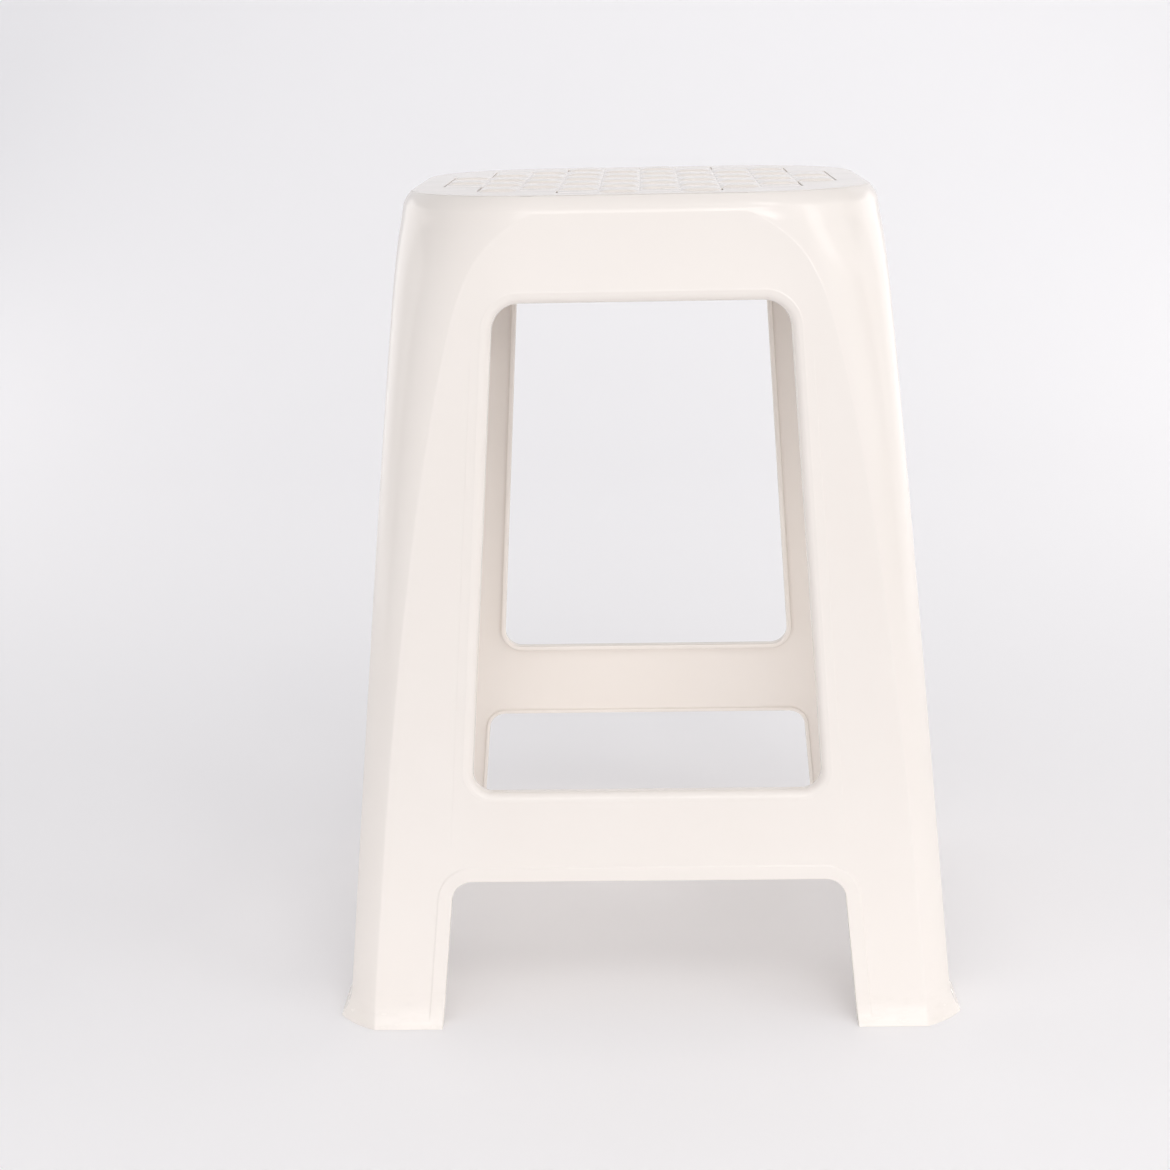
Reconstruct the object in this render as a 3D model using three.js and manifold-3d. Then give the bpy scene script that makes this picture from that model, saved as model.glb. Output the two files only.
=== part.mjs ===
import * as THREE from 'three';
import { mergeVertices } from 'three/addons/utils/BufferGeometryUtils.js';
import Module from 'manifold-3d';

const wasm = await Module();
wasm.setup();

// Lengths are millimetres. The origin is on the floor under the middle of the seat,
// +Z is up, the front of the stool faces -Y and +X is its right side seen from the front.

// Heights of the seat
const seatEdge = 452.4;            // top of the leaning band, at the edge of the seat
const bandHigh = 6.4;              // height of that band, above the flat faces of the aprons
const borderCrown = 0.7;           // how far the smooth border rises inside the seat edge
const plateDrop = 0.9;             // from the seat edge down to the plate that carries the weave
const plateThick = 3;

// The tapering shell
const footHalf = 168.9;            // half width that the side faces would have at the floor
const taperPerMm = 0.0838;         // how far each side face leans in for each mm of height
const wall = 3;                    // thickness of the moulding
const bandLean = 3.6;              // how far the band leans in over its height
const bandBendPower = 1.35;

// The corner surface between two side faces, as wide as it reaches along each face
const cornerFoot = 14;
const cornerGrow = 30.5;           // growth that is spread over the height of the legs
const cornerGrowPower = 3;
const archFlatHalf = 50.5;         // half of the straight line at the top of each flat face
const archPower = 32;              // how late the arch over each flat face sets in
const creaseFoot = THREE.MathUtils.degToRad(30);   // how sharply the corner surface breaks from the face
const creaseFadeLowShare = 0.27;
const creaseFadeHighShare = 0.94;

// The flare at the floor
const flareHigh = 16;
const flareOut = 5.2;
const flareCorner = 6;

// The gap between the legs below each cross rail
const gapHigh = 82.2;
const gapLegHigh = 54.5;           // width of a leg beside the gap, at its top and at the floor
const gapLegLow = 53.7;
const gapRadius = 11;
const gapLipDepth = 5;
const gapLipWall = 2.4;
const stripWide = 7.8;             // the raised strip round the gap
const stripProud = 0.5;

// The window in each side, measured on its inner lip
const railHigh = 50.1;             // from the gap up to the window
const apronHigh = 48.9;            // from the window up to the leaning band
const windowLegLow = 61.8;         // width of a leg beside the window, at its foot and at its head
const windowLegHigh = 56.6;
const windowRadiusLow = 11;
const windowRadiusHigh = 15;
const lipDepth = 8.3;
const lipWall = 3.2;
const lipRoundWide = 4.6;
const lipRoundDeep = 4;

// Where one member ends and the next begins
const shoulderDrop = 87;           // from the head of the window down to the top of the legs
const memberInset = 1;             // from the straight run of an opening's edge in to the end of a member
const apronInset = 4;

// The top of the seat
const softEdge = 1.6;              // how far in from the seat edge the top is still rounded
const borderWide = 17.3;           // smooth border from the seat edge to the weave
const weaveStrands = 10;           // strands each way
const weaveBarStrands = 4;         // the outermost row on each side is only this many strands long
const weaveValley = 0.7;           // lowest and highest level of the weave above the plate
const weaveCrest = 2.8;
const grooveWide = 1.2;
const pillowSteps = 4;
const runPower = 3;                // how flat a strand stays along its run before it dips
const crossPower = 2.2;            // how round it is across its width

// The ribs under the seat
const ribDrop = 20;
const ribThick = 2.4;
const ribClearance = 10;           // from the end of a rib to the wall
const ribOffsetShare = 1 / 3;      // distance of a rib from the middle, as a share of its reach

// Heights that follow from the sizes above
const bandLow = seatEdge - bandHigh;
const deckHigh = seatEdge - plateDrop;
const deckLow = deckHigh - plateThick;
const borderHigh = seatEdge + borderCrown;
const windowHigh = bandLow - apronHigh;
const windowLow = gapHigh + railHigh;
const legHigh = windowHigh - shoulderDrop;

const cornerSteps = 8;
const outlineSteps = 6;
const passOut = 2 * lipDepth;      // how far a cutter runs past what it cuts

const cream = { color: 0xece7dc, roughness: 0.32, metalness: 0 };

// Half width of the stool at height z, as the flat faces give it
function faceHalf(z) {
  return footHalf - taperPerMm * z;
}

// Half width of the outer skin at height z, with the flare at the floor and the band at the seat
function sideHalf(z) {
  let half = faceHalf(z);
  if (z < flareHigh) {
    half += flareOut * (1 - z / flareHigh) ** 2;
  }
  if (z > bandLow) {
    half -= bandLean * ((z - bandLow) / bandHigh) ** bandBendPower;
  }
  return half;
}

// How far the corner surface reaches along each side face at height z
function cornerWidth(z) {
  const share = Math.min(z, bandLow) / bandLow;
  const archRise = sideHalf(bandLow) - archFlatHalf - cornerFoot - cornerGrow;
  let width = cornerFoot + cornerGrow * share ** cornerGrowPower + archRise * share ** archPower;
  if (z < flareHigh) {
    width += flareCorner * (1 - z / flareHigh) ** 2;
  }
  if (z > bandLow) {
    width += sideHalf(z) - sideHalf(bandLow);
  }
  return width;
}

// Angle between the face and the start of the corner surface: a break low down, none near the seat
function creaseAngle(z) {
  const share = z / bandLow;
  return creaseFoot * (1 - THREE.MathUtils.smoothstep(share, creaseFadeLowShare, creaseFadeHighShare));
}

// One level section of the stool, inset from the outer skin
function planRing(z, inset) {
  const crease = creaseAngle(z);
  const flatShare = crease / (Math.PI / 4);
  const half = sideHalf(z) - inset;
  const width = cornerWidth(z) - inset * (1 - flatShare * (Math.SQRT2 - 1));
  const radius = width / (Math.cos(crease) - Math.sin(crease));
  const centreX = half - radius * Math.cos(crease);
  const centreY = half - width - radius * Math.sin(crease);
  const corner = [];
  for (let i = 0; i <= cornerSteps; i += 1) {
    const angle = crease + (Math.PI / 2 - 2 * crease) * (i / cornerSteps);
    corner.push([centreX + radius * Math.cos(angle), centreY + radius * Math.sin(angle)]);
  }
  const ring = [];
  for (let turn = 0; turn < 4; turn += 1) {
    for (const [x, y] of corner) {
      const turned = quarterTurn(x, y, turn);
      ring.push(new THREE.Vector3(turned[0], turned[1], z));
    }
  }
  return ring;
}

// A point turned about the stool's axis by whole quarters
function quarterTurn(x, y, turn) {
  if (turn === 0) {
    return [x, y];
  }
  return quarterTurn(-y, x, turn - 1);
}

// Rings of equal length joined into a closed solid, with a fan over each end
function loft(rings) {
  const count = rings[0].length;
  const positions = [];
  for (const ring of rings) {
    for (const point of ring) {
      positions.push(point.x, point.y, point.z);
    }
  }
  for (const ring of [rings[0], rings[rings.length - 1]]) {
    const middle = new THREE.Vector3();
    ring.forEach((point) => middle.addScaledVector(point, 1 / count));
    positions.push(middle.x, middle.y, middle.z);
  }
  const lowMiddle = rings.length * count;
  const highMiddle = lowMiddle + 1;
  const lastRing = (rings.length - 1) * count;
  const index = [];
  for (let i = 0; i < count; i += 1) {
    const next = (i + 1) % count;
    for (let level = 0; level < lastRing; level += count) {
      index.push(level + i, level + next, level + count + next);
      index.push(level + i, level + count + next, level + count + i);
    }
    index.push(lowMiddle, next, i);
    index.push(highMiddle, lastRing + i, lastRing + next);
  }
  const geometry = new THREE.BufferGeometry();
  geometry.setAttribute('position', new THREE.Float32BufferAttribute(positions, 3));
  geometry.setIndex(index);
  return toSolid(geometry);
}

// A three.js geometry as a solid that can be joined and cut
function toSolid(geometry) {
  geometry.deleteAttribute('normal');
  geometry.deleteAttribute('uv');
  const welded = mergeVertices(geometry);
  return new wasm.Manifold(new wasm.Mesh({
    numProp: 3,
    vertProperties: new Float32Array(welded.attributes.position.array),
    triVerts: new Uint32Array(welded.index.array),
  }));
}

// A solid back as a three.js mesh with its own material
function toMesh(body, name) {
  const result = body.getMesh();
  const geometry = new THREE.BufferGeometry();
  const positions = new Float32Array(result.vertProperties);
  geometry.setAttribute('position', new THREE.BufferAttribute(positions, result.numProp));
  geometry.setIndex(new THREE.BufferAttribute(new Uint32Array(result.triVerts), 1));
  geometry.computeVertexNormals();
  const mesh = new THREE.Mesh(geometry, new THREE.MeshStandardMaterial(cream));
  mesh.name = name;
  return mesh;
}

// A block between two opposite corners, which it meets exactly
function block(low, high) {
  const geometry = new THREE.BoxGeometry();
  const position = geometry.attributes.position;
  for (let i = 0; i < position.count; i += 1) {
    for (let axis = 0; axis < 3; axis += 1) {
      position.setComponent(i, axis, position.getComponent(i, axis) < 0 ? low[axis] : high[axis]);
    }
  }
  return toSolid(geometry);
}

// Heights that step evenly from low to high, with both ends
function steps(low, high, count) {
  const heights = [];
  for (let i = 0; i <= count; i += 1) {
    heights.push(low + (high - low) * (i / count));
  }
  return heights;
}

// Every height at which the shell has a section: close together where the shape bends
function shellLevels() {
  return [...new Set([
    ...steps(0, flareHigh, 4),
    ...steps(flareHigh, legHigh, 5),
    ...steps(legHigh, windowHigh, 4),
    ...steps(windowHigh, bandLow, 6),
    deckLow,
  ])];
}

function skin(inset) {
  return loft(shellLevels().map((z) => planRing(z, inset)));
}

// The space inside the walls, run on past both ends
function innerSpace() {
  const rings = shellLevels().map((z) => planRing(z, wall));
  const below = rings[0].map((point) => point.clone().setZ(-passOut));
  const above = rings[rings.length - 1].map((point) => point.clone().setZ(deckLow + passOut));
  return loft([below, ...rings, above]);
}

// Outline of an opening on a side face: leaning sides and rounded corners, grown outward by grow.
// Points are x along the face and z up it.
function openingOutline(opening, grow) {
  const lean = Math.atan((opening.halfLow - opening.halfHigh) / (opening.high - opening.low));
  const sideReach = opening.halfLow * Math.cos(lean) + opening.low * Math.sin(lean) + grow;
  const corners = [
    { radius: opening.radiusLow, z: opening.low - grow, toward: 1, from: -Math.PI / 2, to: lean },
    { radius: opening.radiusHigh, z: opening.high + grow, toward: -1, from: lean, to: Math.PI / 2 },
  ];
  const right = [];
  for (const corner of corners) {
    const radius = corner.radius + grow;
    const centreZ = corner.z + corner.toward * radius;
    const centreX = (sideReach - radius - centreZ * Math.sin(lean)) / Math.cos(lean);
    for (const angle of steps(corner.from, corner.to, outlineSteps)) {
      right.push([centreX + radius * Math.cos(angle), centreZ + radius * Math.sin(angle)]);
    }
  }
  const left = right.map(([x, z]) => [-x, z]).reverse();
  return [...right, ...left];
}

// An outline laid on the side face of one side, at a depth behind its surface
function onFace(outline, depth, turn) {
  const lean = Math.atan(taperPerMm);
  return outline.map(([x, z]) => {
    const y = -faceHalf(z) + depth * Math.cos(lean);
    const turned = quarterTurn(x, y, turn);
    return new THREE.Vector3(turned[0], turned[1], z - depth * Math.sin(lean));
  });
}

// A solid through a side face. Each section gives how far the outline is grown and its depth,
// from the deepest section out.
function throughFace(opening, sections, turn) {
  return loft(sections.map(([grow, depth]) => onFace(openingOutline(opening, grow), depth, turn)));
}

const windowOpening = {
  low: windowLow,
  high: windowHigh,
  halfLow: faceHalf(windowLow) - windowLegLow,
  halfHigh: faceHalf(windowHigh) - windowLegHigh,
  radiusLow: windowRadiusLow,
  radiusHigh: windowRadiusHigh,
};

// The gap runs on below the floor, so that it cuts the foot through
const gapSpread = (faceHalf(0) - gapLegLow) - (faceHalf(gapHigh) - gapLegHigh);
const gapOpening = {
  low: -passOut,
  high: gapHigh,
  halfLow: faceHalf(0) - gapLegLow + gapSpread * (passOut / gapHigh),
  halfHigh: faceHalf(gapHigh) - gapLegHigh,
  radiusLow: gapRadius,
  radiusHigh: gapRadius,
};

// Cuts a window with a rounded front edge
function windowCutter(turn) {
  const sections = [[0, passOut]];
  for (const angle of steps(Math.PI / 2, 0, 3)) {
    sections.push([lipRoundWide * (1 - Math.sin(angle)), lipRoundDeep * (1 - Math.cos(angle))]);
  }
  sections.push([lipRoundWide, -passOut]);
  return throughFace(windowOpening, sections, turn);
}

function gapCutter(turn) {
  return throughFace(gapOpening, [[0, passOut], [0, -passOut]], turn);
}

// The four walls and corners from the floor to the seat plate, with their openings cut and lipped
function walls() {
  let outer = skin(0);
  const proud = skin(-stripProud);
  const turns = [0, 1, 2, 3];
  for (const turn of turns) {
    const strip = throughFace(gapOpening, [[stripWide, wall], [stripWide, -passOut]], turn);
    outer = outer.add(proud.intersect(strip));
  }
  let shell = outer.subtract(innerSpace());
  for (const turn of turns) {
    const windowLip = throughFace(windowOpening, [[lipWall, lipDepth], [lipWall, -passOut]], turn);
    const gapLip = throughFace(gapOpening, [[gapLipWall, gapLipDepth], [gapLipWall, -passOut]], turn);
    shell = shell.add(outer.intersect(windowLip)).add(outer.intersect(gapLip));
  }
  for (const turn of turns) {
    shell = shell.subtract(windowCutter(turn)).subtract(gapCutter(turn));
  }
  return shell;
}

// One member cut out of the walls and repeated round the stool by quarter turns
function membersAround(shell, low, high, names) {
  const member = shell.intersect(block(low, high));
  return names.map((name, turn) => toMesh(turnSolid(member, turn), name));
}

// A solid turned about the stool's axis by whole quarters
function turnSolid(body, turn) {
  const result = body.getMesh();
  const positions = new Float32Array(result.vertProperties);
  for (let i = 0; i < positions.length; i += 3) {
    const [x, y] = quarterTurn(positions[i], positions[i + 1], turn);
    positions[i] = x;
    positions[i + 1] = y;
  }
  return new wasm.Manifold(new wasm.Mesh({
    numProp: 3,
    vertProperties: positions,
    triVerts: new Uint32Array(result.triVerts),
  }));
}

// The flat plate that carries the weave and joins the walls
function seatPlate() {
  return loft([planRing(deckLow, 0), planRing(deckHigh, 0)]);
}

// The smooth border on the plate: a softened outer edge, nearly flat inside it
function seatBorder() {
  const dome = loft([
    planRing(deckHigh, 0),
    planRing(seatEdge, 0),
    planRing(seatEdge, softEdge / 2).map((point) => point.setZ(seatEdge + borderCrown / 2)),
    planRing(seatEdge, softEdge * 2).map((point) => point.setZ(borderHigh)),
  ]);
  return dome.subtract(weaveField(grooveWide, deckHigh - passOut, borderHigh + passOut));
}

// Half the number of strands across the woven field at a row: the field is a square block with one
// shorter row along each side
function rowHalfStrands(row) {
  const fromMiddle = Math.abs(row + 1 / 2 - weaveStrands / 2);
  const blockHalf = weaveStrands / 2 - 1;
  if (fromMiddle < weaveBarStrands / 2) {
    return weaveStrands / 2;
  }
  return fromMiddle < blockHalf ? blockHalf : weaveBarStrands / 2;
}

// Width of one strand, which is also the pitch of the weave
function strandWide() {
  return (2 * (sideHalf(seatEdge) - borderWide)) / weaveStrands;
}

// The stepped outline of the woven field as an upright block, grown by a margin
function weaveField(grow, low, high) {
  const strand = strandWide();
  let field = null;
  for (let row = 0; row < weaveStrands; row += 1) {
    const half = rowHalfStrands(row) * strand + grow;
    const rowLow = (row - weaveStrands / 2) * strand;
    const piece = block([-half, rowLow - grow, low], [half, rowLow + strand + grow, high]);
    field = field ? field.add(piece) : piece;
  }
  return field;
}

// Height share of an over-lying strand: run goes along the strand, cross goes over its width
function pillowShare(run, cross) {
  const along = 1 - Math.abs(2 * run - 1) ** runPower;
  const over = 1 - Math.abs(2 * cross - 1) ** crossPower;
  return along * over;
}

// Height of the woven top over the point column, row, counted in strands from one corner.
// Cells where the strand on top runs along X and along Y take turns.
function weaveTop(column, row, cellColumn, cellRow) {
  const u = column - cellColumn;
  const v = row - cellRow;
  const runsAlongX = (cellColumn + cellRow) % 2 === 0;
  const share = runsAlongX ? pillowShare(u, v) : pillowShare(v, u);
  return deckHigh + weaveValley + (weaveCrest - weaveValley) * share;
}

// The basket weave: strands of equal width pass over and under, modelled as one relief.
// Each cell has a rounded top, a flat underside and, on the rim of the field, an upright side.
function seatWeave() {
  const strand = strandWide();
  const positions = [];
  const face = (...points) => {
    for (let i = 2; i < points.length; i += 1) {
      for (const [x, y, z] of [points[0], points[i - 1], points[i]]) {
        positions.push((x - weaveStrands / 2) * strand, (y - weaveStrands / 2) * strand, z);
      }
    }
  };
  const inField = (column, row) => row >= 0 && row < weaveStrands
    && Math.abs(column + 1 / 2 - weaveStrands / 2) < rowHalfStrands(row);
  for (let row = 0; row < weaveStrands; row += 1) {
    for (let column = 0; column < weaveStrands; column += 1) {
      if (inField(column, row)) {
        weaveCell(column, row, face);
        weaveRim(column, row, face, inField);
      }
    }
  }
  const geometry = new THREE.BufferGeometry();
  geometry.setAttribute('position', new THREE.Float32BufferAttribute(positions, 3));
  return toSolid(geometry);
}

// One cell of the weave, top and underside
function weaveCell(column, row, face) {
  const at = (i, j) => {
    const x = column + i / pillowSteps;
    const y = row + j / pillowSteps;
    return [x, y, weaveTop(x, y, column, row)];
  };
  for (let i = 0; i < pillowSteps; i += 1) {
    for (let j = 0; j < pillowSteps; j += 1) {
      face(at(i, j), at(i + 1, j), at(i + 1, j + 1), at(i, j + 1));
    }
  }
  face(
    [column, row, deckHigh], [column, row + 1, deckHigh],
    [column + 1, row + 1, deckHigh], [column + 1, row, deckHigh],
  );
}

// The upright sides of a cell that lies on the rim of the field
function weaveRim(column, row, face, inField) {
  const edges = [
    { out: [0, -1], from: [0, 0], to: [1, 0] },
    { out: [1, 0], from: [1, 0], to: [1, 1] },
    { out: [0, 1], from: [1, 1], to: [0, 1] },
    { out: [-1, 0], from: [0, 1], to: [0, 0] },
  ];
  for (const { out, from, to } of edges) {
    if (!inField(column + out[0], row + out[1])) {
      const points = steps(0, 1, pillowSteps).map((share) => [
        column + from[0] + (to[0] - from[0]) * share,
        row + from[1] + (to[1] - from[1]) * share,
      ]);
      const top = points.map(([x, y]) => [x, y, weaveTop(x, y, column, row)]).reverse();
      const low = [points[0], points[pillowSteps]].map(([x, y]) => [x, y, deckHigh]);
      face(low[0], low[1], ...top);
    }
  }
}

// Straight ribs under the seat plate: two long ones, and short ones between them
function ribs() {
  const low = deckLow - ribDrop;
  const half = ribThick / 2;
  const ribReach = sideHalf(deckLow) - wall - ribClearance;
  const ribOffset = ribReach * ribOffsetShare;
  const meshes = [];
  for (const side of [-1, 1]) {
    const y = side * ribOffset;
    const name = side < 0 ? 'rib_long_front' : 'rib_long_rear';
    meshes.push(toMesh(block([-ribReach, y - half, low], [ribReach, y + half, deckLow]), name));
  }
  const stretches = [
    ['front', -ribReach, -ribOffset - half],
    ['middle', -ribOffset + half, ribOffset - half],
    ['rear', ribOffset + half, ribReach],
  ];
  for (const side of [-1, 1]) {
    const x = side * ribOffset;
    for (const [place, from, to] of stretches) {
      const name = `rib_short_${side < 0 ? 'left' : 'right'}_${place}`;
      meshes.push(toMesh(block([x - half, from, low], [x + half, to, deckLow]), name));
    }
  }
  return meshes;
}

const stool = new THREE.Group();
stool.name = 'stacking_stool';

const shell = walls();
const sides = ['front', 'right', 'rear', 'left'];
const corners = ['front_right', 'rear_right', 'rear_left', 'front_left'];
const named = (prefix, places) => places.map((place) => `${prefix}_${place}`);

// Members end where the edges of the openings run straight
const apronHalf = windowOpening.halfHigh - windowRadiusHigh - apronInset;
const railHalf = windowOpening.halfHigh - memberInset;
const out = footHalf + passOut;

stool.add(toMesh(seatPlate(), 'seat_plate'));
stool.add(toMesh(seatBorder(), 'seat_border'));
stool.add(toMesh(seatWeave(), 'seat_weave'));
stool.add(...membersAround(
  shell, [-apronHalf, -out, legHigh], [apronHalf, -apronHalf, deckLow], named('apron', sides),
));
stool.add(...membersAround(
  shell, [apronHalf, -out, legHigh], [out, -apronHalf, deckLow], named('shoulder', corners),
));
stool.add(...membersAround(
  shell, [railHalf, -out, flareHigh], [out, -railHalf, legHigh], named('leg', corners),
));
stool.add(...membersAround(
  shell, [railHalf, -out, -passOut], [out, -railHalf, flareHigh], named('foot', corners),
));
stool.add(...membersAround(
  shell, [-railHalf, -out, flareHigh], [railHalf, -railHalf, legHigh], named('rail', sides),
));
stool.add(...ribs());

export default stool;
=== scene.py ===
import math

import bmesh
import bpy
from mathutils import Matrix, Vector
from mathutils.geometry import delaunay_2d_cdt


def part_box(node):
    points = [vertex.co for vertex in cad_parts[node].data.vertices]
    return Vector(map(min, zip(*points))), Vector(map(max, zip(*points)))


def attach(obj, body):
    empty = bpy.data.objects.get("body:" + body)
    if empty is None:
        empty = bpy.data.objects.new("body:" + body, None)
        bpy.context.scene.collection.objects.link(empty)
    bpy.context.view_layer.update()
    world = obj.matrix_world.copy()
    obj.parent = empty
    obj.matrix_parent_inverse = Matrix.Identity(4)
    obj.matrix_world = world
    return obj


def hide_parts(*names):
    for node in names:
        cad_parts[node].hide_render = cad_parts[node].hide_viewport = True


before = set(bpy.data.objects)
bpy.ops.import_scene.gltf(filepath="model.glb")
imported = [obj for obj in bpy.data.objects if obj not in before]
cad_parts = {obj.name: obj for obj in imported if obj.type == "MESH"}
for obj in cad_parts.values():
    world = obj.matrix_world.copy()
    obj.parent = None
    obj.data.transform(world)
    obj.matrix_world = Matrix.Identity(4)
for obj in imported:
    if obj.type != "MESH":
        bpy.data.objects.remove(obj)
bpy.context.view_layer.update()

mm = 0.001                      # the shell is worked out in millimetres and scaled in Shell.solid

# Heights that the frame gives, in millimetres
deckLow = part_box("seat_plate")[0].z / mm            # underside of the seat plate
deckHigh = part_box("seat_plate")[1].z / mm           # its top, which carries the weave
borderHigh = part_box("seat_border")[1].z / mm        # the smooth border round the weave
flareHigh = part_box("foot_front_left")[1].z / mm     # the feet flare below this height
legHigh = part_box("leg_front_left")[1].z / mm        # head of a leg, where the finer rows begin
print("frame loaded:", len(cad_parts), "nodes")

# The tapering skin: four flat sides, and four corner surfaces that open out into an arch at the top
skin = {
    "footHalf": 168.9,          # half width that the flat sides would have at the floor
    "taper": 0.0838,            # how far a side leans in for each mm of height
    "wall": 3.0,
    "seatEdge": 452.4,
    "bandHigh": 8.7,            # the band between the flat sides and the seat edge
    "bandLean": 3.6,
    "bandPower": 1.7,
    "facetHigh": 1.5,           # its foot is a narrow facet, which takes the line of light
    "facetSlope": 0.065,
    "cornerFoot": 15.0,         # reach of the corner surface along each side, at the floor
    "cornerGrow": 29.3,         # how much wider it grows up the leg
    "cornerGrowPower": 3,
    "archFlatHalf": 57.0,       # half of the straight line at the top of each flat side
    "archPower": 28,
    "creaseFoot": 30.0,         # how sharply the corner breaks from the side, in degrees
    "creaseArch": 13.0,         # the same at the arch
    "creaseFadeShares": (0.27, 0.8),    # shares of the height between which it changes
    "creaseRoundFoot": 12.0,    # radius of that break, at the foot, at the arch and inside
    "creaseRoundArch": 4.0,
    "creaseRoundInside": 1.0,
    "creaseRoundShares": (0.5, 0.85),   # and between which the radius does
    "creaseEndHigh": 8.0,       # the break sinks into the band over this height
    "creaseEndShare": 0.6,
    "creaseRun": 1.2,           # least straight run beside the break
    "creaseRunShare": 0.9,      # the most of that run that its rounding takes
    "leastTangent": 0.001,      # keeps that rounding finite where the break has faded out
    "openLow": 380.0,           # the corner's middle opens out from here to the edge of the seat
    "openRadius": 45.0,
    "openPower": 1.6,
    "openBlend": (20.0, 8.0),   # it takes over from here above openLow to here below the band
    "flareOut": 5.2,
    "flareCorner": 6.0,
    "footRound": 0.4,           # rounding of the edge that stands on the floor
    "undersideRound": 4.0,      # where the walls meet the seat plate inside
    "seamHigh": 0.3,            # the fine dark line round the seat edge
    "seamDeep": 0.5,
    "seamRound": 0.15,
    "crownPower": 2.2,          # how the border curves up from the seat edge
    "cornerColumns": 28,
    "bendColumns": 4,           # columns in each break, and in the straight run beside it
    "runColumns": 3,
    "flareRows": 14,
    "legRows": 22,
    "archRows": 44,
    "archCrowd": 2.2,           # how strongly those rows crowd towards the band
    "bandRows": 16,
    "crownRows": 10,
    "bandCrowd": 1.8,           # how strongly both crowd towards the edge they start from
    "support": 0.35,            # a row this close to each bend keeps the flat sides flat in the shading
    "insideClear": 0.2,         # least distance of an inner row from the bend under the seat plate
    "fillNear": 0.00001,        # points closer than this are one point in the flat fills,
    "weldNear": 0.004,          # and points closer than this in the whole shell
}
bandLow = skin["seatEdge"] - skin["bandHigh"]

# The window in each side, and the gap between the legs below it
window = {
    "low": 132.3,
    "high": 397.1,
    "legLow": 61.8,             # width of the leg beside it, at its foot and at its head
    "legHigh": 56.6,
    "radiusLow": 11.0,
    "radiusHigh": 15.0,
    "edgeWide": 4.6,            # rounded front edge
    "edgeDeep": 4.0,
    "lipDeep": 8.3,
    "lipWall": 3.2,
    "lipRound": 0.9,
    "lipFillet": 2.0,
    "beadAway": 5.4,            # the fine bead round the window: its middle line, width and height
    "beadWide": 1.8,
    "beadProud": 0.09,
    "stepAway": 10.3,           # the fine step up each leg beside the window
    "stepWide": 0.7,
    "stepProud": 0.14,
    "stepLow": (98.0, 112.0),   # where it rises out of the face, and where it sinks back
    "stepHigh": (350.0, 375.0),
    "stepRows": 24,
    "arcSteps": 12,
    "sideSteps": 6,
}
gap = {
    "high": 82.2,
    "legLow": 53.7,
    "legHigh": 54.5,
    "radius": 11.0,
    "edgeRound": 0.8,
    "lipDeep": 5.0,
    "lipWall": 2.4,
    "lipRound": 0.6,
    "lipFillet": 1.1,
    "stripWide": 7.8,           # the raised strip round the gap
    "stripProud": 0.5,
    "stripSlope": 0.9,          # width of the slope at its edge
    "stripFade": (3.0, 9.0),    # the strip sinks into the flare between these heights
    "arcSteps": 10,
    "sideSteps": 5,
}

# How many steps each rounded edge of the shell has
roundSteps = {
    "foot": 4,
    "openingEdge": 8,
    "lip": 4,
    "lipFillet": 5,
    "stripSlope": 4,
    "bead": 8,
    "legStep": 4,
    "fieldCorner": 3,
    "groove": 4,
    "underside": 6,
}


def smooth(value, low, high):
    share = min(max((value - low) / (high - low), 0), 1)
    return share * share * (3 - 2 * share)


def spread(low, high, count, power=1.0):
    # count steps from low to high, both ends included; a power above 1 crowds them towards high
    return [high + (low - high) * (1 - i / count) ** power for i in range(count + 1)]


def faceHalf(z):
    return skin["footHalf"] - skin["taper"] * z


def flareShare(z):
    return max(1 - z / flareHigh, 0) ** 2


def footCut(z):
    # how far the rounded edge at the floor cuts into a wall
    r = skin["footRound"]
    return r - math.sqrt(max(r * r - max(r - z, 0) ** 2, 0))


def bandInset(z):
    # how far the band has leaned in: a narrow facet, then a curve back to the seat edge
    facet = skin["facetSlope"] * max(z - bandLow, 0)
    rise = max(z - bandLow - skin["facetHigh"], 0) / (skin["bandHigh"] - skin["facetHigh"])
    curve = skin["bandLean"] - skin["facetSlope"] * skin["bandHigh"]
    return facet + curve * rise ** skin["bandPower"]


def sideHalf(z):
    return faceHalf(z) + skin["flareOut"] * flareShare(z)


# how much further the corner reaches along the side under the band, where the arch is
archRise = faceHalf(bandLow) - skin["archFlatHalf"] - skin["cornerFoot"] - skin["cornerGrow"]


def cornerWidth(z):
    share = min(z, bandLow) / bandLow
    width = skin["cornerFoot"] + skin["cornerGrow"] * share ** skin["cornerGrowPower"]
    width += archRise * share ** skin["archPower"] + skin["flareCorner"] * flareShare(z)
    return width + min(faceHalf(z) - faceHalf(bandLow), 0)


def archStretch(z):
    # how much longer than its height the crease is here, as it leans over into the arch
    share = min(z, bandLow) / bandLow
    grow = skin["cornerGrow"] * skin["cornerGrowPower"] * share ** (skin["cornerGrowPower"] - 1)
    arch = archRise * skin["archPower"] * share ** (skin["archPower"] - 1)
    return math.hypot(1, skin["taper"] + (grow + arch) / bandLow)


def creaseAngle(z):
    # The corner breaks from the side by an angle that changes slowly up the crease. Seen from above,
    # the same break is a smaller angle where the crease leans over.
    share = smooth(z / bandLow, *skin["creaseFadeShares"])
    turned = skin["creaseFoot"] + (skin["creaseArch"] - skin["creaseFoot"]) * share
    end = 1 - skin["creaseEndShare"] * smooth(z, bandLow - skin["creaseEndHigh"], bandLow)
    level = math.atan(math.tan(math.radians(turned)) * end / archStretch(z))
    return level * (1 - smooth(z, bandLow, skin["seatEdge"]))


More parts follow.
